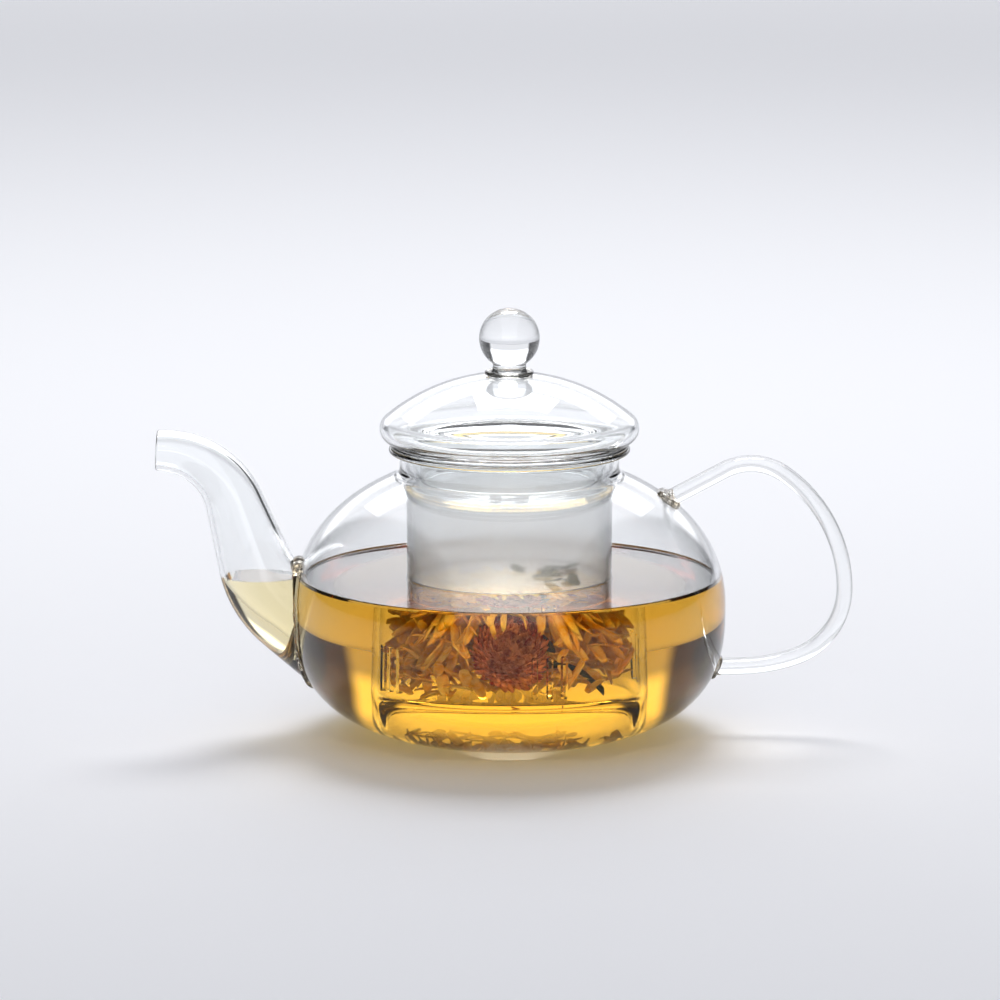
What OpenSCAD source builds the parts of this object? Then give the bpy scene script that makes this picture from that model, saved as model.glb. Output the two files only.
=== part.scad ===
// Lampworked glass teapot with a lift-out infuser and a hollow lid.
// Millimetres, +Z up. The origin is the centre of the flat base, the spout points to -X.

/* [Bowl] */
// Greatest outer radius of the bowl
bowl_r = 64; // [60:0.5:68]
// Height of the greatest radius above the base
belly_z = 37.3; // [36:0.1:39]
// Height of the shoulder curve above the belly, as if it ran on to the axis
shoulder_h = 44.8; // [43:0.1:47]
// Fullness of the shoulder curve, where 2 is an ellipse
shoulder_n = 2.13; // [2:0.01:2.4]
// Depth of the lower curve below the belly, as if it ran on to the axis
heel_h = 40.5; // [39.5:0.1:42]
// Fullness of the lower curve, where 2 is an ellipse
heel_n = 2.78; // [2.4:0.02:3.2]
// Wall of the blown bowl
bowl_wall = 1.9; // [1.5:0.1:2.4]
// Thickness of the flat base
base_wall = 2.6; // [2:0.1:3.5]

/* [Neck] */
// Outer radius of the neck tube
neck_r = 32.4; // [32.2:0.1:33.5]
// Wall of the neck tube
neck_wall = 1.6; // [1.3:0.1:1.7]
// Height of the top of the turned-out rim
rim_z = 84.6; // [83.6:0.1:86]
// Outer radius of the turned-out rim
rim_r = 35.6; // [35:0.1:37]
// Thickness of the turned-out rim
rim_t = 1.3; // [1.1:0.1:1.8]

/* [Spout] */
// Distance from the pot's axis to the centre of the spout's mouth
tip_x = 104.2; // [101:0.1:106]
// Height of the centre of the spout's mouth
tip_z = 83.7; // [82:0.1:85]
// Outer radius at the mouth
tip_r = 6; // [5.5:0.1:6.5]
// Outer radius where the spout meets the bowl
root_r = 14; // [13:0.1:14.5]
// Wall of the spout tube
spout_wall = 1.4; // [1.1:0.1:1.6]

/* [Handle] */
// Width of the strap, across the pot
strap_w = 8; // [7:0.2:10]
// Thickness of the strap
strap_t = 4.7; // [4:0.1:5.2]

/* [Infuser] */
// Outer radius of the infuser tube
infuser_r = 30.2; // [29.5:0.1:30.3]
// Wall of the infuser tube
infuser_wall = 1.5; // [1.2:0.1:1.6]
// Height of the underside of the infuser's floor
infuser_z = 16.2; // [5:0.1:20]
// Outer corner radius of the infuser's floor
infuser_corner = 2.4; // [2:0.1:6]
// Thickness of the lip that the infuser hangs by
lip_t = 1.2; // [1:0.1:1.6]
// Width of one slot
slot_w = 1.4; // [1:0.1:1.8]
// Length of one slot
slot_len = 10; // [8:0.5:20]
// Distance between neighbouring slots, along the wall
slot_pitch = 4; // [3.4:0.1:5]
// Groups of slots around the tube
slot_groups = 4; // [2:1:5]
// Slots in one group
slots_per_group = 3; // [1:1:4]

/* [Lid] */
// Greatest outer radius of the lid
lid_r = 38.3; // [37.5:0.1:39]
// Radius of the lid's rounded edge
lid_edge = 4.2; // [3.6:0.1:4.6]
// Height of the dome above the centre of the rounded edge
dome_h = 16.4; // [14:0.1:18]
// Wall of the dome
lid_wall = 1.7; // [1.3:0.1:2]
// Outer radius of the skirt that drops into the infuser
skirt_r = 27.6; // [26.5:0.1:27.9]
// Length of the skirt below the lid's underside
skirt_len = 11; // [8:0.5:18]
// Radius of the solid ball knob
knob_r = 8.95; // [8:0.05:10]

/* [Hidden] */
$fn = 96;

collar_z = 68;                   // height at which the neck's collar takes over from the bowl
seat_gap = 0.15;                 // air between the rim, the infuser's lip and the lid
curve_steps = 16;                // points along one stretch of an outline
slot_turn = 20;                  // first slot group, degrees round from the +X axis

lip_z = rim_z + seat_gap;                    // underside of the infuser's lip
lid_z = lip_z + lip_t + seat_gap;            // underside of the lid
edge_z = lid_z + lid_edge;                   // centre of the lid's rounded edge
edge_x = lid_r - lid_edge;
dome_top = edge_z + dome_h;
// The dome is one arc that runs smoothly into the rounded edge.
dome_r = (pow(edge_x, 2) + pow(dome_h, 2) - pow(lid_edge, 2)) / (2 * (dome_h - lid_edge));
dome_z = dome_top - dome_r;
dome_a = atan2(edge_z - dome_z, edge_x);     // where the two arcs meet
stem_r = 6.7;                                // the seal's stem, and the hole in the dome
stem_flange = 7.3;
knob_z = dome_top + 10.4;
knob_cut = knob_z - 7.3;                     // flat where the ball meets its seal

// Path of the spout from the mouth: each stretch is a length and a turn in degrees.
spout_path = [[2.5, 0], [27.7, -69], [19, 0], [17.6, 36], [16, 0]];
spout_start = [-tip_x, tip_z, -3];
spout_rings = 34;
spout_sides = 28;
// Path of the handle from inside the lower wall, round to inside the shoulder.
strap_path = [[13.8, 0], [15.4, 18], [26.5, 70], [40.3, 55], [19.1, 63], [23, 0]];
strap_start = [56, 18.3, 2];
strap_rings = 46;
strap_sides = 20;
strap_n = 3;                     // squareness of the strap's section
bead_sides = 12;

function sum(v, n) = n <= 0 ? 0 : v[n - 1][0] + sum(v, n - 1);
spout_len = sum(spout_path, len(spout_path));
strap_len = sum(strap_path, len(strap_path));
strap_middle = strap_len / 2;

// ---- outlines ----

function arc(c, r, a0, a1, n = curve_steps) =
    [for (i = [0:n]) let (a = a0 + (a1 - a0) * i / n) c + r * [cos(a), sin(a)]];

// A point on the shoulder or the heel, where grow moves the wall outwards.
function shoulder(a, grow = 0) =
    [(bowl_r + grow) * pow(cos(a), 2 / shoulder_n),
     belly_z + (shoulder_h + grow) * pow(sin(a), 2 / shoulder_n)];
function heel(a, grow = 0) =
    [(bowl_r + grow) * pow(cos(a), 2 / heel_n),
     belly_z - (heel_h + grow) * pow(sin(a), 2 / heel_n)];

// Angle at which the curve reaches a height (heel_at, rise_at) or a radius (shoulder_at).
function heel_at(z, grow = 0) = asin(pow((belly_z - z) / (heel_h + grow), heel_n / 2));
function rise_at(z, grow = 0) = asin(pow((z - belly_z) / (shoulder_h + grow), shoulder_n / 2));
function shoulder_at(r, grow = 0) = acos(pow(r / (bowl_r + grow), shoulder_n / 2));

neck_in = neck_r - neck_wall;
shoulder_in_top = shoulder(shoulder_at(neck_in, -bowl_wall), -bowl_wall)[1];

// Above zero outside the bowl, below zero inside it.
function outside(p) =
    let (r = norm([p[0], p[1]]), up = p[2] - belly_z)
    up > 0
        ? pow(r / bowl_r, shoulder_n) + pow(up / shoulder_h, shoulder_n) - 1
        : pow(r / bowl_r, heel_n) + pow(-up / heel_h, heel_n) - 1;

// The place between s_out and s_in where f changes sign, by halving.
function crossing(f, s_out, s_in, n = 26) =
    n == 0 ? s_out
    : let (m = (s_out + s_in) / 2)
      f(m) > 0 ? crossing(f, m, s_in, n - 1) : crossing(f, s_out, m, n - 1);

// ---- paths ----

// Moves [x, z, direction] on by a length and a turn.
function onward(p, l, turn) =
    abs(turn) < 0.001
        ? [p[0] + l * cos(p[2]), p[1] + l * sin(p[2]), p[2]]
        : let (r = l / (turn * PI / 180))
          [p[0] + r * (sin(p[2] + turn) - sin(p[2])),
           p[1] - r * (cos(p[2] + turn) - cos(p[2])), p[2] + turn];
function along(path, p, s, i = 0) =
    let (l = path[i][0], turn = path[i][1])
    s <= l || i == len(path) - 1 ? onward(p, s, turn * s / l)
                                 : along(path, onward(p, l, turn), s - l, i + 1);

// A point beside the path: out in its plane, and across it.
function beside(p, out, across) =
    [p[0] - out * sin(p[2]), across, p[1] + out * cos(p[2])];

function spout_radius(s) =
    let (t = s / spout_len)
    tip_r + (root_r - tip_r) * (t + (1 - cos(180 * t)) / 2) / 2;
function spout_point(s, a, wall) =
    let (r = spout_radius(s) - wall)
    beside(along(spout_path, spout_start, s), r * cos(a), r * sin(a));

function strap_point(s, a) =
    let (c = cos(a), d = sin(a))
    beside(along(strap_path, strap_start, s),
           strap_t / 2 * sign(c) * pow(abs(c), 2 / strap_n),
           strap_w / 2 * sign(d) * pow(abs(d), 2 / strap_n));

// How far a line along the spout or the strap runs before it reaches the bowl.
function spout_end(a, wall) =
    crossing(function(s) outside(spout_point(s, a, wall)), spout_len * 0.45, spout_len);
function strap_low(a) =
    crossing(function(s) outside(strap_point(s, a)), strap_middle, 0);
function strap_high(a) =
    crossing(function(s) outside(strap_point(s, a)), strap_middle, strap_len);

// ---- meshes ----

// Faces between neighbouring rings, where round_again joins the last ring to the first.
function ring_faces(rings, sides, round_again) =
    [for (i = [0:rings - (round_again ? 1 : 2)]) for (j = [0:sides - 1])
        let (k = (j + 1) % sides, n = (i + 1) % rings)
        each [[i * sides + j, i * sides + k, n * sides + k],
              [i * sides + j, n * sides + k, n * sides + j]]];

// Bead of glass around a seam: at(a) is a point of the seam, and out(a) points away from it.
module seam_bead(at, out, forward, size, steps = 36) {
    points = [for (i = [0:steps - 1]) let (a = i * 360 / steps)
        for (j = [0:bead_sides - 1]) let (b = j * 360 / bead_sides)
            at(a) + size(a) * (cos(b) * out(a) + sin(b) * forward)];
    polyhedron(points, ring_faces(steps, bead_sides, true));
}

// ---- pot ----

spout_root = along(spout_path, spout_start, spout_len * 0.86);
bore_in_bowl = root_r - spout_wall - 1.2;

module spout_bore() {
    translate([spout_root[0], 0, spout_root[1]])
        rotate([0, 90 - spout_root[2], 0])
            cylinder(r = bore_in_bowl, h = 44, center = true);
}

// The bowl's wall below its widest line, with the flat base.
module bowl_base() {
    low = heel_at(0);
    in_low = heel_at(base_wall, -bowl_wall);
    color("aliceblue", 0.35)
    difference() {
        rotate_extrude()
            polygon(concat([[0, 0]],
                [for (i = [0:curve_steps]) heel(low * (1 - i / curve_steps))],
                [for (i = [0:curve_steps]) heel(in_low * i / curve_steps, -bowl_wall)],
                [[0, base_wall]]));
        spout_bore();
    }
}

// The bowl's wall above its widest line, between two angles outside and inside.
module shoulder_ring(low, high, in_low, in_high) {
    polygon(concat(
        [for (i = [0:curve_steps]) shoulder(low + (high - low) * i / curve_steps)],
        [for (i = [curve_steps:-1:0])
            shoulder(in_low + (in_high - in_low) * i / curve_steps, -bowl_wall)]));
}

module bowl_shoulder() {
    color("aliceblue", 0.35)
    difference() {
        rotate_extrude()
            shoulder_ring(0, rise_at(collar_z), 0, rise_at(collar_z, -bowl_wall));
        spout_bore();
    }
}

// The closing part of the shoulder, the neck and the turned-out rim.
module neck_collar() {
    color("aliceblue", 0.35)
    rotate_extrude() {
        shoulder_ring(rise_at(collar_z), shoulder_at(neck_r),
            rise_at(collar_z, -bowl_wall), shoulder_at(neck_in, -bowl_wall));
        translate([neck_in, shoulder_in_top]) square([neck_wall, rim_z - shoulder_in_top]);
        translate([neck_in, rim_z - rim_t]) square([rim_r - rim_t / 2 - neck_in, rim_t]);
        translate([rim_r - rim_t / 2, rim_z - rim_t / 2]) circle(rim_t / 2);
    }
}

module spout() {
    outer = [for (i = [0:spout_rings]) for (j = [0:spout_sides - 1])
        let (a = j * 360 / spout_sides) spout_point(spout_end(a, 0) * i / spout_rings, a, 0)];
    inner = [for (i = [spout_rings:-1:0]) for (j = [0:spout_sides - 1])
        let (a = j * 360 / spout_sides)
            spout_point(spout_end(a, spout_wall) * i / spout_rings, a, spout_wall)];
    color("aliceblue", 0.35)
        polyhedron(concat(outer, inner),
            ring_faces(2 * (spout_rings + 1), spout_sides, true));
}

module spout_seal() {
    color("wheat", 0.5)
        seam_bead(function(a) spout_point(spout_end(a, 0), a, 0),
            function(a) beside([0, 0, spout_root[2]], cos(a), sin(a)),
            [cos(spout_root[2]), 0, sin(spout_root[2])],
            function(a) 1.3 + 1.3 * pow(max(0, cos(a)), 4));
}

// ---- handle ----

module handle() {
    ring = [for (j = [0:strap_sides - 1]) j * 360 / strap_sides];
    low = [for (a = ring) strap_low(a)];
    high = [for (a = ring) strap_high(a)];
    sides = [for (i = [0:strap_rings]) for (j = [0:strap_sides - 1])
        strap_point(low[j] + (high[j] - low[j]) * i / strap_rings, ring[j])];
    count = len(sides);
    last = count - strap_sides;
    low_middle = (sides[0] + sides[strap_sides / 2]) / 2;
    high_middle = (sides[last] + sides[last + strap_sides / 2]) / 2;
    caps = [for (j = [0:strap_sides - 1]) let (k = (j + 1) % strap_sides)
        each [[count, k, j], [count + 1, last + j, last + k]]];
    color("aliceblue", 0.35)
        polyhedron(concat(sides, [low_middle, high_middle]),
            concat(ring_faces(strap_rings + 1, strap_sides, false), caps));
}

// Puddle of glass round the end of the strap, at place s on its path.
module strap_seal(reach, s, size) {
    p = along(strap_path, strap_start, s);
    color("wheat", 0.5)
        seam_bead(function(a) strap_point(reach(a), a),
            function(a) beside([0, 0, p[2]], cos(a), sin(a)),
            [cos(p[2]), 0, sin(p[2])], function(a) size);
}

module handle_upper_seal() {
    strap_seal(function(a) strap_high(a), strap_len, 1.6);
}

module handle_lower_seal() {
    strap_seal(function(a) strap_low(a), 0, 1.3);
}

// ---- infuser ----

infuser_in = infuser_r - infuser_wall;
infuser_foot = infuser_z + infuser_corner;
slot_low = infuser_foot + 0.3;

module slot() {
    half = slot_len / 2 - slot_w / 2;
    translate([infuser_r - 3, 0, slot_low + slot_len / 2]) rotate([0, 90, 0]) {
        translate([-half, -slot_w / 2, 0]) cube([2 * half, slot_w, 6]);
        for (end = [-half, half]) translate([end, 0, 0]) cylinder(d = slot_w, h = 6, $fn = 24);
    }
}

module infuser_tube() {
    step = slot_pitch / infuser_r * 180 / PI;
    color("aliceblue", 0.4)
    difference() {
        translate([0, 0, infuser_foot])
            cylinder(r = infuser_r, h = lip_z - infuser_foot);
        translate([0, 0, infuser_foot - 1])
            cylinder(r = infuser_in, h = lip_z - infuser_foot + 2);
        for (g = [0:slot_groups - 1], i = [0:slots_per_group - 1])
            rotate(slot_turn + g * 360 / slot_groups + (i - (slots_per_group - 1) / 2) * step)
                slot();
    }
}

module infuser_lip() {
    reach = rim_r - 0.4 - lip_t / 2;
    color("aliceblue", 0.4)
    rotate_extrude() {
        translate([infuser_in, lip_z]) square([reach - infuser_in, lip_t]);
        translate([reach, lip_z + lip_t / 2]) circle(lip_t / 2);
    }
}

module infuser_floor() {
    c = [infuser_r - infuser_corner, infuser_foot];
    color("aliceblue", 0.4)
    rotate_extrude()
        polygon(concat([[0, infuser_z]], arc(c, infuser_corner, -90, 0),
            arc(c, infuser_corner - infuser_wall, 0, -90), [[0, infuser_z + infuser_wall]]));
}

// ---- lid ----

module lid_dome() {
    c = [edge_x, edge_z];
    in_edge = lid_edge - lid_wall;
    in_dome = dome_r - lid_wall;
    color("aliceblue", 0.35)
    rotate_extrude()
        polygon(concat(arc([0, dome_z], dome_r, acos(stem_r / dome_r), dome_a),
            arc(c, lid_edge, dome_a, -90),
            [[skirt_r, lid_z], [skirt_r, lid_z + lid_wall]],
            arc(c, in_edge, -90, dome_a),
            arc([0, dome_z], in_dome, dome_a, acos(stem_r / in_dome))));
}

module lid_skirt() {
    wall = 1.5;
    low = lid_z - skirt_len;
    color("aliceblue", 0.35)
    rotate_extrude() {
        translate([skirt_r - wall, low]) square([wall, lid_z + lid_wall - low]);
        translate([skirt_r - wall / 2, low]) circle(wall / 2, $fn = 32);
    }
}

module knob_seal() {
    dome_out = dome_z + sqrt(pow(dome_r, 2) - pow(stem_r, 2));
    dome_in = dome_z + sqrt(pow(dome_r - lid_wall, 2) - pow(stem_flange, 2));
    top_r = sqrt(pow(knob_r, 2) - pow(knob_z - knob_cut, 2));
    plug = 1.6;
    waist = [for (i = [0:8]) let (t = i / 8)
        [top_r + (stem_flange - top_r) * pow(1 - t, 1.8),
         dome_out + 0.6 + (knob_cut - dome_out - 0.6) * t]];
    color("wheat", 0.5)
    rotate_extrude()
        polygon(concat([[0, dome_in - plug], [stem_flange - 0.6, dome_in - plug],
            [stem_flange, dome_in - plug + 0.6], [stem_flange, dome_in], [stem_r, dome_in],
            [stem_r, dome_out], [stem_flange, dome_out]], waist, [[0, knob_cut]]));
}

module lid_knob() {
    color("aliceblue", 0.35)
    difference() {
        translate([0, 0, knob_z]) sphere(knob_r);
        translate([-knob_r, -knob_r, knob_cut - 2 * knob_r]) cube(2 * knob_r);
    }
}

bowl_base();
bowl_shoulder();
neck_collar();
spout();
spout_seal();
handle();
handle_upper_seal();
handle_lower_seal();
infuser_tube();
infuser_lip();
infuser_floor();
lid_dome();
lid_skirt();
knob_seal();
lid_knob();
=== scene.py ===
import math
import random

import bmesh
import bpy
from mathutils import Matrix, Vector, noise


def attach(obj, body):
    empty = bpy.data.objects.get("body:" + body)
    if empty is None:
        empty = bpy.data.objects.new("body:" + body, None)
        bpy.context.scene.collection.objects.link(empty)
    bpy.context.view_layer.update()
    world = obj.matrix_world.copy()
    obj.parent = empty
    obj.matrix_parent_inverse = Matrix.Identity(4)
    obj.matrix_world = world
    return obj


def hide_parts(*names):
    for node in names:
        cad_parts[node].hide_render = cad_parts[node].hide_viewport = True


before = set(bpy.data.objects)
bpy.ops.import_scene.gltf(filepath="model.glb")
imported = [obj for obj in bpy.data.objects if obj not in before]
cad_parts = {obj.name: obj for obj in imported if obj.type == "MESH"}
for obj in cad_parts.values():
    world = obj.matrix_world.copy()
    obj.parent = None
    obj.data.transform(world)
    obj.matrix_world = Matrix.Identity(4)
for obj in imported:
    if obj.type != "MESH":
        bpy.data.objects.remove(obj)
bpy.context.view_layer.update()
mm = 0.001
scene = bpy.context.scene

# Helpers for colours, nodes, materials and meshes


def linear(hexColour, alpha=1.0):
    # sRGB hex to the linear colour that shaders take
    parts = [int(hexColour[i:i + 2], 16) / 255 for i in (1, 3, 5)]
    return tuple(c / 12.92 if c <= 0.04045 else ((c + 0.055) / 1.055) ** 2.4
                 for c in parts) + (alpha,)


def addNode(tree, kind, settings=None, links=None):
    node = tree.nodes.new(kind)
    for key, value in (settings or {}).items():
        if isinstance(key, str) and hasattr(node, key):
            setattr(node, key, value)
        else:
            node.inputs[key].default_value = value
    for key, source in (links or {}).items():
        tree.links.new(source, node.inputs[key])
    return node


def newMaterial(name):
    material = bpy.data.materials.new(name)
    material.use_nodes = True
    material.node_tree.nodes.clear()
    output = material.node_tree.nodes.new("ShaderNodeOutputMaterial")
    return material, material.node_tree, output


def placeMesh(name, mesh, material, body, replaced=(), sharp=None):
    piece = bpy.data.objects.new(name, mesh)
    scene.collection.objects.link(piece)
    mesh.materials.append(material)
    for face in mesh.polygons:
        face.use_smooth = True
    if sharp:
        mesh.set_sharp_from_angle(angle=math.radians(sharp))
    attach(piece, body)
    if replaced:
        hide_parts(*replaced)
    return piece


def paintFaces(piece, material, test):
    # gives the faces that pass the test another material
    mesh = piece.data
    mesh.materials.append(material)
    for face in mesh.polygons:
        if test(face.index, face.center.x / mm, face.center.y / mm, face.center.z / mm):
            face.material_index = len(mesh.materials) - 1


def arc(centre, radius, start, stop, steps=16):
    out = []
    for i in range(steps + 1):
        a = math.radians(start + (stop - start) * i / steps)
        out.append((centre[0] + radius * math.cos(a), centre[1] + radius * math.sin(a)))
    return out


def bend(start, corner, stop, steps=10):
    # rounds a corner between two points
    out = []
    for i in range(steps + 1):
        t = i / steps
        out.append(tuple((1 - t) ** 2 * a + 2 * t * (1 - t) * b + t * t * c
                         for a, b, c in zip(start, corner, stop)))
    return out


def evenly(points, count):
    # the same line with points at even distances
    lengths = [0.0]
    for a, b in zip(points, points[1:]):
        lengths.append(lengths[-1] + math.dist(a, b))
    out, j = [], 0
    for i in range(count + 1):
        want = lengths[-1] * i / count
        while j < len(points) - 2 and lengths[j + 1] < want:
            j += 1
        span = lengths[j + 1] - lengths[j]
        t = (want - lengths[j]) / span if span > 0 else 0
        t = min(1, max(0, t))
        out.append(tuple(a + (b - a) * t for a, b in zip(points[j], points[j + 1])))
    return out


def lathe(name, outline, sides=224, loop=False):
    # turns an outline of (radius, height) in mm about the upright axis
    bm = bmesh.new()
    rings = []
    for r, z in outline:
        if r < 1e-5:
            rings.append([bm.verts.new((0, 0, z * mm))])
        else:
            rings.append([bm.verts.new((r * mm * math.cos(2 * math.pi * k / sides),
                                        r * mm * math.sin(2 * math.pi * k / sides), z * mm))
                          for k in range(sides)])
    pairs = list(zip(rings, rings[1:])) + ([(rings[-1], rings[0])] if loop else [])
    for a, b in pairs:
        for k in range(sides):
            n = (k + 1) % sides
            if len(a) == 1 and len(b) == 1:
                break
            if len(a) == 1:
                bm.faces.new((a[0], b[k], b[n]))
            elif len(b) == 1:
                bm.faces.new((a[k], b[0], a[n]))
            else:
                bm.faces.new((a[k], b[k], b[n], a[n]))
    return finishMesh(name, bm)


def finishMesh(name, bm):
    bmesh.ops.recalc_face_normals(bm, faces=bm.faces)
    mesh = bpy.data.meshes.new(name)
    bm.to_mesh(mesh)
    bm.free()
    return mesh


def skin(name, rings, roundAgain=False, capped=False):
    # joins closed rings of points, in mm, into one surface
    bm = bmesh.new()
    grid = [[bm.verts.new([c * mm for c in p]) for p in ring] for ring in rings]
    sides = len(rings[0])
    pairs = list(zip(grid, grid[1:])) + ([(grid[-1], grid[0])] if roundAgain else [])
    for a, b in pairs:
        for k in range(sides):
            n = (k + 1) % sides
            bm.faces.new((a[k], a[n], b[n], b[k]))
    if capped:
        for ring in (grid[0], grid[-1]):
            middle = bm.verts.new(sum((v.co for v in ring), Vector()) / sides)
            for k in range(sides):
                bm.faces.new((ring[k], ring[(k + 1) % sides], middle))
    return finishMesh(name, bm)


def cut(mesh, cutter, keep="DIFFERENCE"):
    # cuts one mesh with another and gives back the result
    a = bpy.data.objects.new("cutBody", mesh)
    b = bpy.data.objects.new("cutTool", cutter)
    for o in (a, b):
        scene.collection.objects.link(o)
    change = a.modifiers.new("cut", "BOOLEAN")
    change.operation, change.object, change.solver = keep, b, "EXACT"
    done = bpy.data.meshes.new_from_object(a.evaluated_get(bpy.context.evaluated_depsgraph_get()))
    done.name = mesh.name
    for o in (a, b):
        bpy.data.objects.remove(o)
    return done


# Sizes that several pieces share, in mm
bowl = {"radius": 64, "belly": 37.3, "shoulder": 44.8, "shoulderN": 2.13, "heel": 40.5,
        "heelN": 2.78, "wall": 1.9, "base": 2.6, "neck": 32.4, "neckWall": 1.6, "rimTop": 84.6,
        "rimRadius": 35.6, "rimThick": 1.3, "corner": 2.2, "spoutHole": 11.4}
teaTop = 46.0


def shoulderPoint(a, grow=0):
    return ((bowl["radius"] + grow) * math.cos(a) ** (2 / bowl["shoulderN"]),
            bowl["belly"] + (bowl["shoulder"] + grow) * math.sin(a) ** (2 / bowl["shoulderN"]))


def heelPoint(a, grow=0):
    return ((bowl["radius"] + grow) * math.cos(a) ** (2 / bowl["heelN"]),
            bowl["belly"] - (bowl["heel"] + grow) * math.sin(a) ** (2 / bowl["heelN"]))


def bowlSide(floorZ, topRadius, grow, count=120):
    low = math.asin(((bowl["belly"] - floorZ) / (bowl["heel"] + grow)) ** (bowl["heelN"] / 2))
    high = math.acos((topRadius / (bowl["radius"] + grow)) ** (bowl["shoulderN"] / 2))
    line = [heelPoint(low * (1 - i / 400), grow) for i in range(400)]
    line += [shoulderPoint(high * i / 400, grow) for i in range(401)]
    return evenly(line, count)


def outsideBowl(p, grow=0):
    # above zero outside the bowl, below zero inside it
    r, up = math.hypot(p[0], p[1]), p[2] - bowl["belly"]
    n = bowl["shoulderN"] if up > 0 else bowl["heelN"]
    h = bowl["shoulder"] if up > 0 else bowl["heel"]
    return (r / (bowl["radius"] + grow)) ** n + (abs(up) / (h + grow)) ** n - 1


def along(path, place, s):
    # [x, z, direction] after a distance s along stretches of (length, turn)
    x, z, d = place
    for i, (length, turn) in enumerate(path):
        step = s if s <= length or i == len(path) - 1 else length
        t = turn * step / length
        if abs(t) < 0.001:
            x, z = x + step * math.cos(math.radians(d)), z + step * math.sin(math.radians(d))
        else:
            r = step / math.radians(t)
            x += r * (math.sin(math.radians(d + t)) - math.sin(math.radians(d)))
            z -= r * (math.cos(math.radians(d + t)) - math.cos(math.radians(d)))
            d += t
        s -= step
        if s <= 0:
            break
    return x, z, d


def beside(place, out, across):
    x, z, d = place
    return (x - out * math.sin(math.radians(d)), across, z + out * math.cos(math.radians(d)))


def crossing(f, sOut, sIn):
    for _ in range(30):
        m = (sOut + sIn) / 2
        if f(m) > 0:
            sOut = m
        else:
            sIn = m
    return sOut


def meltedGlass(name, ior=1.47, tint="#FEFFFF", stain=None, depth=0.0, shade="#BCC0C6",
                # Flame-worked borosilicate: smooth and colourless. An edge colour, when given, is
                # painted shade: it greys the outlines, where the surface turns away from the view.
                edge=None, paintedShadeFrom=0.6, glance="#FFFFFF", frost=None):
    # Flame-worked borosilicate: smooth and colourless. Light that grazes it has a long way
    # through it, so its outlines turn grey.
    material, tree, output = newMaterial(name)
    surface = addNode(tree, "ShaderNodeBsdfPrincipled", {
        "Base Color": linear(tint), "IOR": ior, "Transmission Weight": 1.0, "Roughness": 0.0,
        "Specular Tint": linear(glance)})
    # painted shade: the base colour turns to the edge colour where the surface faces away from the
    # view
    if edge:
        paintedShadeFacing = addNode(tree, "ShaderNodeLayerWeight", {"Blend": 0.5})
        share = addNode(tree, "ShaderNodeMapRange", {
            "interpolation_type": "SMOOTHSTEP", "From Min": paintedShadeFrom, "From Max": 0.97, "To Min": 0.0,
            "To Max": 1.0}, {"Value": paintedShadeFacing.outputs["Facing"]})
        colour = addNode(tree, "ShaderNodeMix", {
            "data_type": "RGBA", 6: linear(tint), 7: linear(edge)}, {0: share.outputs[0]})
        tree.links.new(colour.outputs[2], surface.inputs["Base Color"])
    if frost:
        frost(tree, surface)
    through = addNode(tree, "ShaderNodeBsdfTransparent", {"Color": linear(shade)})
    path = addNode(tree, "ShaderNodeLightPath")
    both = addNode(tree, "ShaderNodeMixShader", None,
                   {0: path.outputs["Is Shadow Ray"], 1: surface.outputs[0], 2: through.outputs[0]})
    tree.links.new(both.outputs[0], output.inputs["Surface"])
    if stain:
        body = addNode(tree, "ShaderNodeVolumeAbsorption",
                       {"Color": linear(stain), "Density": depth})
        tree.links.new(body.outputs[0], output.inputs["Volume"])
    return material


# the edge colours below are painted shade on the glass outlines, near black on the handle and knob
# rod
blownGlass = meltedGlass("blown_borosilicate_glass", edge="#858A90", paintedShadeFrom=0.66)
rodGlass = meltedGlass("drawn_borosilicate_rod", edge="#33373C", paintedShadeFrom=0.3)
# Where tea wets the inside of the glass, light bends by 1.47 / 1.333 only.
wetGlass = meltedGlass("borosilicate_wetted_by_tea", ior=1.103, shade="#FFFFFF")
# A gold tint on a thin band under the rim is painted light: the colourless rim glass shows the
# tea's colour there.
rimPaintedTeaLight = meltedGlass("rim_glass_painted_tea_light", tint="#D9AE5C")
seamGlass = meltedGlass("flame_fused_seam_glass", stain="#F3DDB0", depth=110)
teaColour = {"stain": "#F7E05E", "depth": 36}
steepedTea = meltedGlass("steeped_chrysanthemum_tea", 1.333, "#FFFFFF", teaColour["stain"],
                         teaColour["depth"], "#FFFFFF")
# The tea's sides lie inside the glass, so they neither bend nor reflect light.
teaSides = meltedGlass("tea_against_glass", 1.001, "#FFFFFF", teaColour["stain"],
                       teaColour["depth"], "#DADBDC", glance="#000000")

# Camera, floor and lights, in metres, degrees and watts
view = {"place": (-0.00277, -2.459, 0.5200), "tilt": 79.6, "lens": 304.9,
        "floorRadius": 5.0, "floor": "#F1F2F6", "ambient": 0.5}

camera = bpy.data.objects.new("camera", bpy.data.cameras.new("camera"))
camera.data.lens, camera.data.sensor_width = view["lens"], 36
camera.data.clip_start, camera.data.clip_end = 0.05, 60
camera.location = view["place"]
camera.rotation_euler = (math.radians(view["tilt"]), 0, 0)
scene.collection.objects.link(camera)
scene.camera = camera

floorMesh = bpy.data.meshes.new("floor")
bm = bmesh.new()
bmesh.ops.create_circle(bm, cap_ends=True, segments=96, radius=view["floorRadius"])
bm.to_mesh(floorMesh)
bm.free()
floor = bpy.data.objects.new("floor", floorMesh)
floor.location.z = -0.0002
scene.collection.objects.link(floor)
paper, tree, output = newMaterial("matt_paper_sweep")
surface = addNode(tree, "ShaderNodeBsdfPrincipled", {
    "Base Color": linear(view["floor"]), "Roughness": 0.75, "Specular IOR Level": 0.2})
tree.links.new(surface.outputs[0], output.inputs["Surface"])
floorMesh.materials.append(paper)

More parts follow.
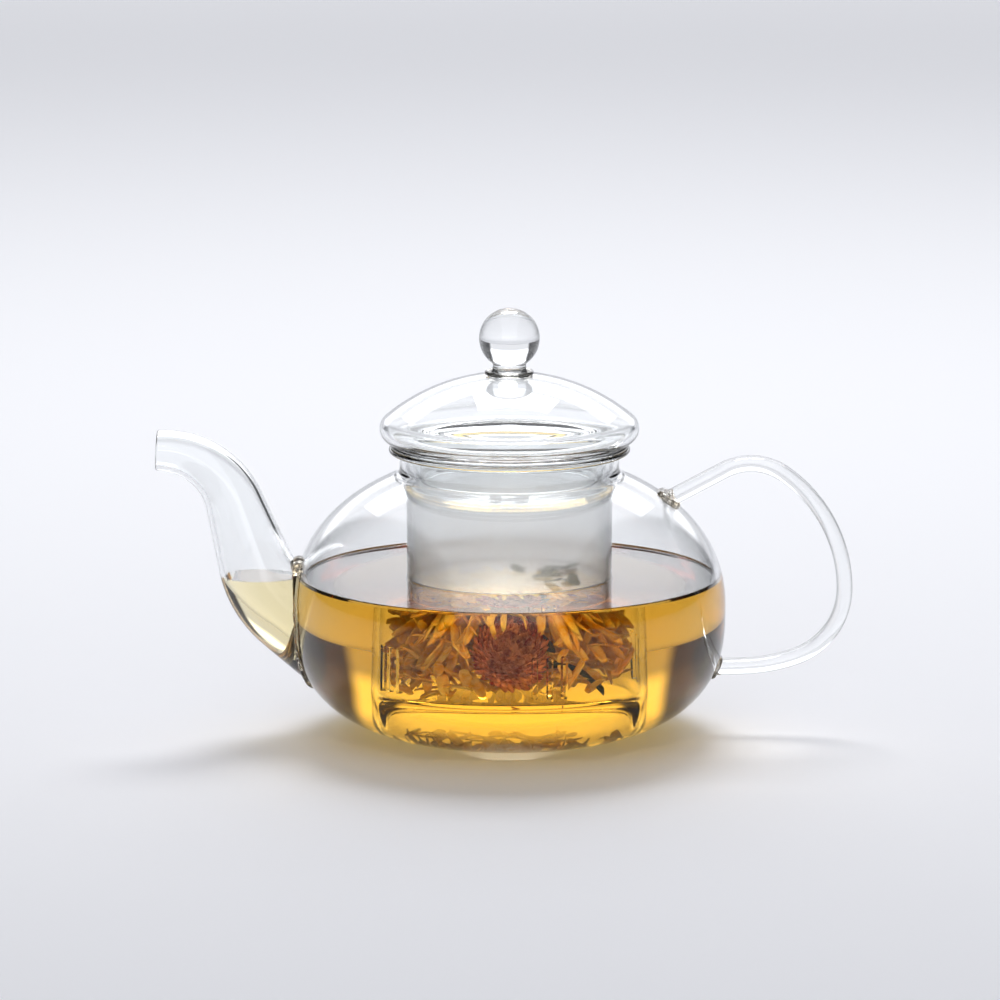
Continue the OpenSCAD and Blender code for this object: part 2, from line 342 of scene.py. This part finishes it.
lights = {
    "softbox": {"place": (0.05, 0.95, 1.35), "aim": (-0.05, -0.90, -1.30), "size": (0.7, 0.45),
                "power": 5.7, "spread": 120},
    # a wide light far behind keeps the paper pale up to the top of the view
    "back_light": {"place": (0.0, 2.6, 1.7), "aim": (0, -0.25, -1), "size": (3.0, 1.2),
                   "power": 20.0, "spread": 180},
    # light that the tea bends down on to the paper round its foot, and in among the petals
    "foot_glow": {"place": (0.0, -0.006, 0.013), "aim": (0, -0.35, -1), "size": (0.072,),
                  "power": 0.30, "spread": 180, "colour": (1.0, 0.86, 0.62)},
    "petal_glow": {"place": (0.0, -0.046, 0.024), "aim": (0, 0.9, 0.05), "size": (0.05,),
                   "power": 0.03, "spread": 64, "colour": (1.0, 0.86, 0.62)}}
for name, light in lights.items():
    lamp = bpy.data.objects.new(name, bpy.data.lights.new(name, "AREA"))
    lamp.data.shape = "RECTANGLE" if len(light["size"]) == 2 else "DISK"
    lamp.data.size, lamp.data.size_y = light["size"][0], light["size"][-1]
    lamp.data.energy, lamp.data.spread = light["power"], math.radians(light["spread"])
    lamp.location = light["place"]
    lamp.rotation_euler = Vector(light["aim"]).to_track_quat("-Z", "Y").to_euler()
    if "colour" in light:  # the tea's own light shows only on what it falls on
        lamp.data.color = light["colour"]
        lamp.visible_camera = lamp.visible_glossy = lamp.visible_transmission = False
    scene.collection.objects.link(lamp)

# The room: pale behind and overhead, with a bright low band behind and dark sides, so that
# glass edges draw in grey.
world = bpy.data.worlds.new("studio")
scene.world = world
world.use_nodes = True
tree = world.node_tree
tree.nodes.clear()
output = addNode(tree, "ShaderNodeOutputWorld")
where = addNode(tree, "ShaderNodeTexCoord")
split = addNode(tree, "ShaderNodeSeparateXYZ", None, {0: where.outputs["Generated"]})
side = addNode(tree, "ShaderNodeMath", {"operation": "ABSOLUTE"}, {0: split.outputs["X"]})

path = addNode(tree, "ShaderNodeLightPath")
zones = {}
for name, source, start, stop, low, high in (
        ("middle", side.outputs[0], 0.43, 0.51, 1.0, 0.04),
        ("behind", split.outputs["Y"], -0.35, 0.1, 0.85, 1.0),
        ("bright", split.outputs["Z"], 0.09, 0.17, 0.9, 2.3),
        ("high", split.outputs["Z"], 0.22, 0.30, 1.0, 0.62),
        ("overhead", split.outputs["Z"], 0.6, 0.75, 0.0, 0.95),
        ("narrow", side.outputs[0], 0.35, 0.6, 1.0, 0.1)):
    zones[name] = addNode(tree, "ShaderNodeMapRange", {
        "interpolation_type": "SMOOTHSTEP", "From Min": start, "From Max": stop, "To Min": low,
        "To Max": high}, {"Value": source}).outputs[0]
for name, operation, first, second in (
        ("wall", "MULTIPLY", "middle", "behind"), ("band", "MULTIPLY", "bright", "high"),
        ("wall", "MULTIPLY", "wall", "band"), ("ceiling", "MULTIPLY", "overhead", "narrow"),
        ("room", "MAXIMUM", "wall", "ceiling")):
    zones[name] = addNode(tree, "ShaderNodeMath", {"operation": operation},
                         {0: zones[first], 1: zones[second]}).outputs[0]
seen = addNode(tree, "ShaderNodeMath", {"operation": "MAXIMUM"},
               {0: zones["room"], 1: path.outputs["Is Camera Ray"]})
# the walls light the paper less than they show in the glass, which leaves the shadow its depth
share = addNode(tree, "ShaderNodeMapRange", {"To Min": 1.0, "To Max": view["ambient"]},
                {"Value": path.outputs["Is Diffuse Ray"]})
seen = addNode(tree, "ShaderNodeMath", {"operation": "MULTIPLY"},
               {0: seen.outputs[0], 1: share.outputs[0]}).outputs[0]
light = addNode(tree, "ShaderNodeBackground", {"Color": linear("#F4F5FA")},
                {"Strength": seen})
tree.links.new(light.outputs[0], output.inputs["Surface"])

scene.view_settings.view_transform = "Standard"
scene.cycles.max_bounces = 20
scene.cycles.transmission_bounces = 18
scene.cycles.transparent_max_bounces = 24
scene.cycles.glossy_bounces = 6
print("stage ready")

# The bowl and its neck are one blown piece, turned from one outline.
wallIn, neckIn = -bowl["wall"], bowl["neck"] - bowl["neckWall"]
outer = bowlSide(0, bowl["neck"] + bowl["corner"], 0)
inner = bowlSide(bowl["base"], neckIn + bowl["corner"], wallIn)
power = bowl["shoulderN"] / 2
cornerZ = shoulderPoint(math.acos((bowl["neck"] / bowl["radius"]) ** power))[1]
innerZ = shoulderPoint(math.acos((neckIn / (bowl["radius"] + wallIn)) ** power), wallIn)[1]
rimMid = bowl["rimTop"] - bowl["rimThick"] / 2
rimOut = bowl["rimRadius"] - bowl["rimThick"] / 2
rimLow = bowl["rimTop"] - bowl["rimThick"]
potLine = [(0, 0.5), (15, 0.45), (28, 0.3)] + bend((31, 0.2), (outer[0][0] - 2, 0), outer[1], 8)
potLine += outer[2:-1] + bend(outer[-1], (bowl["neck"], cornerZ), (bowl["neck"], cornerZ + 2.4))
potLine += bend((bowl["neck"], rimLow - 1.2), (bowl["neck"], rimLow),
                (bowl["neck"] + 1.0, rimLow), 8)
potLine += arc((rimOut, rimMid), bowl["rimThick"] / 2, -90, 90, 12)
potLine += bend((neckIn + 0.8, bowl["rimTop"]), (neckIn, bowl["rimTop"]),
                (neckIn, bowl["rimTop"] - 0.8), 8)
potLine += bend((neckIn, innerZ + bowl["corner"]), (neckIn, innerZ), inner[-1]) + inner[-2:1:-1]
potLine += bend(inner[1], (inner[0][0] - 1, bowl["base"]), (inner[0][0] - 6, bowl["base"] + 0.1), 8)
potLine += [(15, bowl["base"] + 0.25), (0, bowl["base"] + 0.3)]
potMesh = lathe("pot_bowl", potLine)

spout = {"tip": (-104.2, 83.7, -3), "tipRadius": 6.0, "rootRadius": 14.0, "wall": 1.4,
         "path": [(2.5, 0), (27.7, -69), (19, 0), (17.6, 36), (16, 0)], "rings": 150, "sides": 72}
spoutLength = sum(length for length, turn in spout["path"])


def spoutPoint(s, a, wall=0.0):
    t = s / spoutLength
    t = (t + (1 - math.cos(math.pi * t)) / 2) / 2
    r = spout["tipRadius"] + (spout["rootRadius"] - spout["tipRadius"]) * t - wall
    return beside(along(spout["path"], spout["tip"], s), r * math.cos(a), r * math.sin(a))


def spoutEnd(a, wall, grow=0.0):
    # how far along the spout one of its lines meets the bowl
    return crossing(lambda s: outsideBowl(spoutPoint(s, a, wall), grow),
                    spoutLength * 0.45, spoutLength + 6)


root = along(spout["path"], spout["tip"], spoutLength * 0.86)
drill = lathe("drill", [(0, -22), (bowl["spoutHole"], -22), (bowl["spoutHole"], 22), (0, 22)],
              sides=96)
drill.transform(Matrix.Translation((root[0] * mm, 0, root[1] * mm))
                @ Matrix.Rotation(math.radians(90 - root[2]), 4, "Y"))
potMesh = cut(potMesh, drill)
potBowl = placeMesh("pot_bowl", potMesh, blownGlass, "pot",
                    ["bowl_base", "bowl_shoulder", "neck_collar"], 40)
midWall = -bowl["wall"] / 2  # tells inner faces from outer ones
paintFaces(potBowl, wetGlass,
           lambda i, x, y, z: 1.5 < z < teaTop and outsideBowl((x, y, z), midWall) < 0)
# painted light: the gold-tinted band just under the rim
paintFaces(potBowl, rimPaintedTeaLight, lambda i, x, y, z: rimLow - 0.2 < z < rimLow + 0.45
           and math.hypot(x, y) > bowl["neck"] + 1)
print("bowl ready")

# The spout starts just inside its lip and runs to the bowl.
turns = [2 * math.pi * j / spout["sides"] for j in range(spout["sides"])]
lip = spout["wall"] / 2
sunk = -0.9  # the spout and the handle are fused this far into the bowl's wall
outRings = [[spoutPoint(lip + (spoutEnd(a, 0, sunk) - lip) * i / spout["rings"], a)
             for a in turns] for i in range(spout["rings"] + 1)]
inRings = [[spoutPoint(lip + (spoutEnd(a, spout["wall"], sunk) - lip) * i / spout["rings"],
                       a, spout["wall"])
            for a in turns] for i in range(spout["rings"], -1, -1)]
lipRings = [[spoutPoint(lip - lip * math.sin(math.pi * k / 8), a,
                        spout["wall"] / 2 * (1 + math.cos(math.pi * k / 8))) for a in turns]
            for k in range(1, 8)]
spoutMesh = skin("pot_spout", outRings + inRings + lipRings, roundAgain=True)
potSpout = placeMesh("pot_spout", spoutMesh, blownGlass, "pot", ["spout"], 50)
inside = range(spout["sides"] * (spout["rings"] + 1), spout["sides"] * (2 * spout["rings"] + 1))
paintFaces(potSpout, wetGlass, lambda i, x, y, z: i in inside and z < teaTop)


def seamBead(name, at, out, forward, size, lumps, body, replaced, steps=144, sides=20):
    # a run of once-melted glass round a joint, never quite even
    rings = []
    for i in range(steps):
        a = 2 * math.pi * i / steps
        middle, away = Vector(at(a)), Vector(out(a))
        ahead = Vector(forward)
        swell = 1 + lumps * noise.noise(middle * 0.35) + lumps * 0.5 * noise.noise(middle * 0.9)
        ring = []
        for j in range(sides):
            b = 2 * math.pi * j / sides
            ring.append(tuple(middle
                              + size(a) * swell * (math.cos(b) * away + math.sin(b) * ahead)))
        rings.append(ring)
    return placeMesh(name, skin(name, rings, roundAgain=True), seamGlass, body, replaced)


def heading(d):
    return (math.cos(math.radians(d)), 0, math.sin(math.radians(d)))


seamBead("spout_seam", lambda a: spoutPoint(spoutEnd(a, 0), a),
         lambda a: beside((0, 0, root[2]), math.cos(a), math.sin(a)), heading(root[2]),
         lambda a: 1.15 + 1.2 * max(0, math.cos(a)) ** 4, 0.3, "pot", ["spout_seal"])

# The handle is a flattened rod on a curved path.
strap = {"start": (56, 18.3, 2), "width": 8.0, "thick": 4.7, "square": 2.4, "rings": 220,
         "sides": 48, "path": [(13.8, 0), (15.4, 18), (26.5, 70), (40.3, 55), (19.1, 63), (23, 0)]}
strapLength = sum(length for length, turn in strap["path"])


def strapPoint(s, a, grow=0.0):
    c, d = math.cos(a), math.sin(a)
    return beside(along(strap["path"], strap["start"], s),
                  (strap["thick"] / 2 + grow) * math.copysign(abs(c) ** (2 / strap["square"]), c),
                  (strap["width"] / 2 + grow) * math.copysign(abs(d) ** (2 / strap["square"]), d))


def strapEnd(a, stop, grow=sunk):
    return crossing(lambda s: outsideBowl(strapPoint(s, a), grow), strapLength / 2, stop)


strapTurns = [2 * math.pi * j / strap["sides"] for j in range(strap["sides"])]
lows = [strapEnd(a, 0) for a in strapTurns]
highs = [strapEnd(a, strapLength) for a in strapTurns]
rings = [[strapPoint(lo + (hi - lo) * i / strap["rings"], a)
          for a, lo, hi in zip(strapTurns, lows, highs)] for i in range(strap["rings"] + 1)]
placeMesh("pot_handle", skin("pot_handle", rings, capped=True), rodGlass, "pot", ["handle"],
          50)
for name, stop, size, node in (("handle_upper_seam", strapLength, 1.5, "handle_upper_seal"),
                               ("handle_lower_seam", 0, 1.2, "handle_lower_seal")):
    end = along(strap["path"], strap["start"], stop)
    seamBead(name, lambda a: strapPoint(strapEnd(a, stop, 0), a),
             lambda a: beside((0, 0, end[2]), math.cos(a), math.sin(a)), heading(end[2]),
             lambda a: size, 0.25, "pot", [node], steps=96)
print("spout and handle ready")

# The infuser hangs by its lip. Its glass is two pieces, above and below the tea.
infuser = {"radius": 30.2, "wall": 1.5, "foot": 16.2, "corner": 2.4, "lipZ": 84.75, "lipThick": 1.2,
           "lipRadius": 35.2, "slotWidth": 1.4, "slotLength": 10, "slotLow": 18.9, "slotPitch": 4.0,
           "slotTurn": 20, "groups": 4, "perGroup": 3}
tubeIn = infuser["radius"] - infuser["wall"]
lipTop = infuser["lipZ"] + infuser["lipThick"]
lipMid = infuser["lipZ"] + infuser["lipThick"] / 2
lipEdge = infuser["lipRadius"] - infuser["lipThick"] / 2
upper = [(infuser["radius"], teaTop)] + [(infuser["radius"], teaTop + i * 4) for i in range(1, 9)]
upper += bend((infuser["radius"], infuser["lipZ"] - 1.2), (infuser["radius"], infuser["lipZ"]),
              (infuser["radius"] + 1.2, infuser["lipZ"]), 8)
upper += arc((lipEdge, lipMid), infuser["lipThick"] / 2, -90, 90, 10)
upper += bend((tubeIn + 1.0, lipTop), (tubeIn, lipTop), (tubeIn, lipTop - 1.0), 8)
upper += [(tubeIn, teaTop + i * 4) for i in range(8, 0, -1)] + [(tubeIn, teaTop)]


def steamFog(tree, surface):
    # Steam settles above the tea as fine droplets, which blur what lies behind.
    place = addNode(tree, "ShaderNodeTexCoord")
    xyz = addNode(tree, "ShaderNodeSeparateXYZ", None, {0: place.outputs["Object"]})
    fade = addNode(tree, "ShaderNodeMapRange", {
        "interpolation_type": "SMOOTHSTEP", "From Min": 0.071, "From Max": 0.077, "To Min": 1.0,
        "To Max": 0.0}, {"Value": xyz.outputs["Z"]})
    patches = addNode(tree, "ShaderNodeTexNoise", {"Scale": 70.0, "Detail": 3.0},
                      {"Vector": place.outputs["Object"]})
    spread = addNode(tree, "ShaderNodeMapRange", {
        "From Min": 0.35, "From Max": 0.7, "To Min": 0.10, "To Max": 0.24},
        {"Value": patches.outputs[0]})
    rough = addNode(tree, "ShaderNodeMath", {"operation": "MULTIPLY"},
                    {0: fade.outputs[0], 1: spread.outputs[0]})
    tree.links.new(rough.outputs[0], surface.inputs["Roughness"])
    clear = addNode(tree, "ShaderNodeMapRange", {
        "From Min": 0.0, "From Max": 1.0, "To Min": 1.0, "To Max": 0.86},
        {"Value": fade.outputs[0]})
    tree.links.new(clear.outputs[0], surface.inputs["Transmission Weight"])


# its edge colour is painted shade on the outlines
foggedGlass = meltedGlass("steam_fogged_glass", edge="#B9BDC2", frost=steamFog)
# Glass in tea bends light much less than glass in air.
# its edge colour, too, is painted shade on the outlines
sunkGlass = meltedGlass("glass_under_tea", ior=1.08, edge="#A3A6A6", shade="#FBFBFB")
placeMesh("infuser_upper", lathe("infuser_upper", upper, loop=True), foggedGlass, "infuser",
          ["infuser_lip"], 40)
foot = infuser["foot"]
cornerAt = (infuser["radius"] - infuser["corner"], foot + infuser["corner"])
lower = [(0, foot)] + arc(cornerAt, infuser["corner"], -90, 0)
lower += [(infuser["radius"], z) for z in (24, 30, 36, 41, teaTop)]
lower += [(tubeIn, z) for z in (teaTop, 41, 36, 30, 24)]
lower += arc(cornerAt, infuser["corner"] - infuser["wall"], 0, -90) + [(0, foot + infuser["wall"])]
lowerMesh = lathe("infuser_lower", lower)

slotTool = bmesh.new()
half = infuser["slotLength"] / 2 - infuser["slotWidth"] / 2
pitch = math.degrees(infuser["slotPitch"] / infuser["radius"])
for g in range(infuser["groups"]):
    for i in range(infuser["perGroup"]):
        turn = math.radians(infuser["slotTurn"] + g * 360 / infuser["groups"]
                            + (i - (infuser["perGroup"] - 1) / 2) * pitch)
        around = [(infuser["slotWidth"] / 2 * math.cos(math.radians(q)),
                   (half if q < 180 else -half)
                   + infuser["slotWidth"] / 2 * math.sin(math.radians(q)))
                  for q in list(range(0, 181, 15)) + list(range(180, 360, 15)) + [359.9]]
        ends = []
        for r in (infuser["radius"] - 4, infuser["radius"] + 3):
            ends.append([slotTool.verts.new(
                Matrix.Rotation(turn, 3, "Z")
                @ Vector((r, u, infuser["slotLow"] + infuser["slotLength"] / 2 + v)) * mm)
                for u, v in around])
        count = len(around)
        for k in range(count):
            n = (k + 1) % count
            slotTool.faces.new((ends[0][k], ends[0][n], ends[1][n], ends[1][k]))
        slotTool.faces.new(ends[0])
        slotTool.faces.new(ends[1])
lowerMesh = cut(lowerMesh, finishMesh("slotTool", slotTool))
placeMesh("infuser_lower", lowerMesh, sunkGlass, "infuser", ["infuser_tube", "infuser_floor"],
          35)
print("infuser ready")

# The lid is a hollow dome, with a turned-in underside and a skirt, and a solid knob.
lid = {"radius": 38.3, "edge": 4.2, "under": 86.1, "rise": 16.4, "wall": 1.7, "skirt": 27.6,
       "skirtWall": 1.5, "skirtLength": 11, "knob": 8.95, "stem": 5.0}
edgeAt = (lid["radius"] - lid["edge"], lid["under"] + lid["edge"])
domeTop = edgeAt[1] + lid["rise"]
domeRadius = edgeAt[0] ** 2 + lid["rise"] ** 2 - lid["edge"] ** 2
domeRadius /= 2 * (lid["rise"] - lid["edge"])
domeAt = (0, domeTop - domeRadius)
meet = math.degrees(math.atan2(edgeAt[1] - domeAt[1], edgeAt[0]))
skirtLow = lid["under"] - lid["skirtLength"]
skirtMid = lid["skirt"] - lid["skirtWall"] / 2
lidLine = arc(domeAt, domeRadius, 90, meet, 60) + arc(edgeAt, lid["edge"], meet, -90, 32)[1:]
lidLine += bend((lid["skirt"] + 1.2, lid["under"]), (lid["skirt"], lid["under"]),
                (lid["skirt"], lid["under"] - 1.2), 8)
lidLine += [(lid["skirt"], lid["under"] - 6)]
lidLine += arc((skirtMid, skirtLow), lid["skirtWall"] / 2, 0, -180, 12)
skirtIn = lid["skirt"] - lid["skirtWall"]
lidLine += [(skirtIn, lid["under"] - 4)]
lidLine += bend((skirtIn, lid["under"] - 1.6), (skirtIn, lid["under"] + lid["wall"]),
                (skirtIn + 3.4, lid["under"] + lid["wall"]), 14)
lidLine += arc(edgeAt, lid["edge"] - lid["wall"], -90, meet, 32)
lidLine += arc(domeAt, domeRadius - lid["wall"], meet, 90, 60)[1:]
lidLine[0] = (0, lidLine[0][1])
lidLine[-1] = (0, lidLine[-1][1])
placeMesh("lid_dome", lathe("lid_dome", lidLine), blownGlass, "lid", ["lid_dome", "lid_skirt"],
          40)
knobZ = domeTop + 10.4
waistZ = knobZ - math.sqrt(lid["knob"] ** 2 - lid["stem"] ** 2)
knobLine = [(0, domeTop - 0.9), (6.1, domeTop - 0.9)]
knobLine += bend((6.5, domeTop - 0.5), (lid["stem"] - 0.5, domeTop + 0.7),
                 (lid["stem"], waistZ), 12)
waistAngle = math.degrees(math.atan2(waistZ - knobZ, lid["stem"]))
knobLine += arc((0, knobZ), lid["knob"], waistAngle, 90, 64)[1:]
knobLine[-1] = (0, knobLine[-1][1])
placeMesh("lid_knob", lathe("lid_knob", knobLine, 160), rodGlass, "lid", ["lid_knob"],
          50)
seamBead("knob_seam", lambda a: (6.5 * math.cos(a), 6.5 * math.sin(a), domeTop + 0.15),
         lambda a: (math.cos(a), math.sin(a), 0), (0, 0, 1), lambda a: 0.75, 0.2, "lid",
         ["knob_seal"])
print("lid ready")

# The tea reaches a little way into the glass, so that no gap shows.
tea = {"overlap": 0.3, "creep": 0.8, "innerCreep": 0.3}
teaSide = [p for p in bowlSide(bowl["base"], neckIn + 2, wallIn + tea["overlap"], 200)
           if p[1] < teaTop]
rise = (teaTop - bowl["belly"]) / (bowl["shoulder"] + wallIn)
wallAt = bowl["radius"] + wallIn + tea["overlap"]
wallAt *= (1 - rise ** bowl["shoulderN"]) ** (1 / bowl["shoulderN"])
teaLine = [(0, bowl["base"] - 0.1), (20, bowl["base"] - 0.2)]
teaLine += teaSide[1:] + [(wallAt, teaTop), (wallAt, teaTop + tea["creep"])]
teaLine += bend((wallAt - 0.2, teaTop + tea["creep"]), (wallAt - 0.6, teaTop),
                (wallAt - 2.6, teaTop), 10)
teaLine += [(wallAt - 12, teaTop), (infuser["radius"] + 8, teaTop)]
teaLine += bend((infuser["radius"] + 1.8, teaTop), (infuser["radius"] + 0.1, teaTop),
                (infuser["radius"] - 0.3, teaTop + tea["innerCreep"]), 10)
teaLine += bend((tubeIn + 0.3, teaTop + tea["innerCreep"]), (tubeIn - 0.1, teaTop),
                (tubeIn - 1.8, teaTop), 10)
teaLine += [(12, teaTop), (0, teaTop)]
teaInBowl = placeMesh("tea_in_bowl", lathe("tea_in_bowl", teaLine), steepedTea, "pot", sharp=40)
paintFaces(teaInBowl, teaSides,
           lambda i, x, y, z: z < teaTop - 0.01 or math.hypot(x, y) > wallAt - 0.05)

teaWall = spout["wall"] - tea["overlap"]
sTop = crossing(lambda s: spoutPoint(s, 0, teaWall)[2] - teaTop - 6, 0, spoutLength)
teaRings = [[spoutPoint(sTop + (spoutEnd(a, teaWall, -1.2) - sTop) * i / 90, a, teaWall)
             for a in turns] for i in range(91)]
spoutTea = skin("tea_in_spout", teaRings, capped=True)
level = lathe("level", [(0, -10), (150, -10), (150, teaTop), (0, teaTop)], sides=64)
spoutTea = cut(spoutTea, level, "INTERSECT")
teaInSpout = placeMesh("tea_in_spout", spoutTea, steepedTea, "pot", sharp=40)
paintFaces(teaInSpout, teaSides, lambda i, x, y, z: z < teaTop - 0.01)
print("tea ready")

# What steeps in the infuser: petals, a globe amaranth, its leaf and stem
rng = random.Random(11)


def flowerMaterial(name, dark, light, scale, rough=0.6, soft=0.5):
    # Steeped petals and bracts: wet, limp, streaked along their length.
    material, tree, output = newMaterial(name)
    place = addNode(tree, "ShaderNodeTexCoord")
    streaks = addNode(tree, "ShaderNodeTexNoise", {"Scale": scale, "Detail": 4.0, "Roughness": 0.6},
                      {"Vector": place.outputs["Object"]})
    ramp = addNode(tree, "ShaderNodeValToRGB", None, {0: streaks.outputs[0]})
    ramp.color_ramp.elements[0].position, ramp.color_ramp.elements[0].color = 0.36, linear(dark)
    ramp.color_ramp.elements[1].position, ramp.color_ramp.elements[1].color = 0.64, linear(light)
    surface = addNode(tree, "ShaderNodeBsdfPrincipled", {"Roughness": rough, "IOR": 1.36},
                      {"Base Color": ramp.outputs[0]})
    glow = addNode(tree, "ShaderNodeBsdfTranslucent", None, {"Color": ramp.outputs[0]})
    both = addNode(tree, "ShaderNodeMixShader", {0: soft},
                   {1: surface.outputs[0], 2: glow.outputs[0]})
    tree.links.new(both.outputs[0], output.inputs["Surface"])
    return material


def addPetal(bm, base, heading, up, length, width, curl, cup, rows=9, across=4, point=0.5):
    # one petal: it bends towards "up" along its length, and its edges lift
    heading, up = Vector(heading).normalized(), Vector(up)
    sideways = heading.cross(up).normalized()
    up = sideways.cross(heading).normalized()
    at, grid = Vector(base), []
    step = length / rows
    for i in range(rows + 1):
        t = i / rows
        half = width / 2 * (math.sin(math.pi * min(1, 0.12 + 0.80 * t)) ** point)
        if i == rows:
            half *= 0.35
        row = []
        for k in range(across + 1):
            u = 2 * k / across - 1
            row.append(bm.verts.new((at + sideways * half * u + up * cup * half * u * u) * mm))
        grid.append(row)
        turn = Matrix.Rotation(math.radians(curl / rows), 3, sideways)
        heading, up = turn @ heading, turn @ up
        at = at + heading * step
    for a, b in zip(grid, grid[1:]):
        for k in range(across):
            bm.faces.new((a[k], a[k + 1], b[k + 1], b[k]))


def thicken(piece, thickness):
    change = piece.modifiers.new("thickness", "SOLIDIFY")
    change.thickness = thickness * mm
    change.offset = 0


def insideInfuser(p, margin=1.2):
    return math.hypot(p[0], p[1]) < tubeIn - margin and p[2] > foot + infuser["wall"] + 0.5


flowers = {"petalLength": 17, "petalWidth": 2.9, "petals": 64, "settled": 420,
           "heads": [(-12, -9, 38, (-0.5, -0.45, -0.75)), (8, -6, 40, (0.35, -0.5, -0.8)),
                     (-2, 10, 36, (0.1, 0.3, -0.95)), (15, 6, 34, (0.75, 0.2, -0.6)),
                     (-15, 8, 33, (-0.8, 0.3, -0.5)), (-4, -12, 41, (-0.1, -0.85, -0.5))]}
globe = {"at": (0.0, -17.0, 28.2), "radius": 8.6, "bracts": 340, "axis": (0.35, -0.35, 0.87)}


def hidesGlobe(*points):
    # true for a petal that would lie in front of the globe amaranth
    return any(p[1] < -7 and math.hypot(p[0] - globe["at"][0], p[2] - globe["at"][2] + 1) < 9.5
               for p in points)


petalSkin = flowerMaterial("steeped_chrysanthemum_petal", "#F2CF57", "#FFF7C8", 260, 0.45)
bm = bmesh.new()
for x, y, z, axis in flowers["heads"]:
    axis = Vector(axis).normalized()
    other = axis.orthogonal().normalized()
    third = axis.cross(other)
    for k in range(flowers["petals"]):
        spin = k * 2.39996 + rng.uniform(-0.2, 0.2)
        tilt = math.radians(18 + 78 * (k / flowers["petals"]) ** 0.8 + rng.uniform(-8, 8))
        out = other * math.cos(spin) + third * math.sin(spin)
        heading = axis * math.cos(tilt) + out * math.sin(tilt)
        length = flowers["petalLength"] * rng.uniform(0.65, 1.1)
        start = Vector((x, y, z)) + heading * 1.5
        stop = start + heading * length
        while length > 4 and not (insideInfuser(stop) and stop.z < teaTop - 1):
            length *= 0.86
            stop = start + heading * length
        if length > 4 and not hidesGlobe(start, stop, (start + stop) / 2):
            addPetal(bm, start, heading, axis, length,
                     flowers["petalWidth"] * rng.uniform(0.75, 1.15),
                     rng.uniform(-25, 55), rng.uniform(0.15, 0.6))
# loose petals settled on the floor of the infuser
for k in range(flowers["settled"]):
    spin, r = rng.uniform(0, 2 * math.pi), 25.5 * math.sqrt(rng.random())
    start = Vector((r * math.cos(spin), r * math.sin(spin), foot + 2.3 + 13 * rng.random() ** 1.4))
    turn = rng.uniform(0, 2 * math.pi)
    heading = Vector((math.cos(turn), math.sin(turn), rng.uniform(-0.1, 0.9))).normalized()
    length = rng.uniform(6, 14)
    while length > 3 and not insideInfuser(start + heading * length):
        length *= 0.8
    stop = start + heading * length
    if length > 3 and not hidesGlobe(start, stop, (start + stop) / 2):
        addPetal(bm, start, heading, (0, 0, 1), length, rng.uniform(2.0, 3.2), rng.uniform(-30, 30),
                 rng.uniform(0.1, 0.5))
mesh = bpy.data.meshes.new("chrysanthemum_petals")
bm.to_mesh(mesh)
bm.free()
thicken(placeMesh("chrysanthemum_petals", mesh, petalSkin, "infuser"), 0.18)

# globe amaranth: a ball of pointed papery bracts
bractSkin = flowerMaterial("steeped_globe_amaranth_bract", "#94381F", "#F2B79A", 420, 0.55)
bm = bmesh.new()
axis = Vector(globe["axis"]).normalized()
other = axis.orthogonal().normalized()
third = axis.cross(other)
for k in range(globe["bracts"]):
    t = (k + 0.5) / globe["bracts"]
    polar, spin = math.acos(1 - 1.9 * t), k * 2.39996
    around = other * math.cos(spin) + third * math.sin(spin)
    out = axis * math.cos(polar) + around * math.sin(polar)
    rise = axis - out * axis.dot(out)
    rise = rise.normalized() if rise.length > 0.05 else other
    heading = (rise * 0.75 + out * 0.65).normalized()
    start = Vector(globe["at"]) + out * (globe["radius"] - 2.6)
    addPetal(bm, start, heading, out, rng.uniform(3.4, 4.8), rng.uniform(1.7, 2.4),
             rng.uniform(-20, 25), 0.5, rows=5, across=2, point=0.7)
bmesh.ops.create_icosphere(bm, subdivisions=3, radius=(globe["radius"] - 1.6) * mm,
                           matrix=Matrix.Translation(Vector(globe["at"]) * mm))
mesh = bpy.data.meshes.new("globe_amaranth")
bm.to_mesh(mesh)
bm.free()
thicken(placeMesh("globe_amaranth", mesh, bractSkin, "infuser"), 0.12)

# its leaf and stem, and the dark leaf bits that float at the surface
leaf = {"floating": 11, "thick": 0.2, "stem": 0.95}
leafSkin = flowerMaterial("steeped_leaf", "#23301A", "#4B5A2C", 300, 0.4)
bm = bmesh.new()
addPetal(bm, (-1.5, -19.0, 31.0), (0.93, 0.15, 0.25), (0.2, -0.6, 0.8), 15, 6.0, -62, 0.25,
         rows=14)
for k in range(leaf["floating"]):
    spin = rng.uniform(0, 2 * math.pi)
    addPetal(bm, (rng.uniform(2, 19), rng.uniform(-10, 12), teaTop + 0.3),
             (math.cos(spin), math.sin(spin), 0.1), (0, 0, 1), rng.uniform(5, 8.5),
             rng.uniform(2.6, 4.2), rng.uniform(-30, 20), rng.uniform(-0.4, 0.4))
mesh = bpy.data.meshes.new("leaf_bits")
bm.to_mesh(mesh)
bm.free()
thicken(placeMesh("leaf_bits", mesh, leafSkin, "infuser"), leaf["thick"])
stemRings = []
for i in range(25):
    t = i / 24
    middle = Vector((6 + 15.5 * t, -17.5 + 9 * t, 25 - 6.0 * t + 2.5 * math.sin(math.pi * t)))
    r = leaf["stem"] - 0.25 * t + 0.1 * math.sin(9 * t)
    stemRings.append([tuple(middle + Vector((-0.5, 0.866, 0)) * r * math.cos(a)
                            + Vector((0, 0, 1)) * r * math.sin(a))
                      for a in [2 * math.pi * j / 14 for j in range(14)]])
placeMesh("flower_stem", skin("flower_stem", stemRings, capped=True), leafSkin, "infuser", sharp=50)
print("flowers ready")
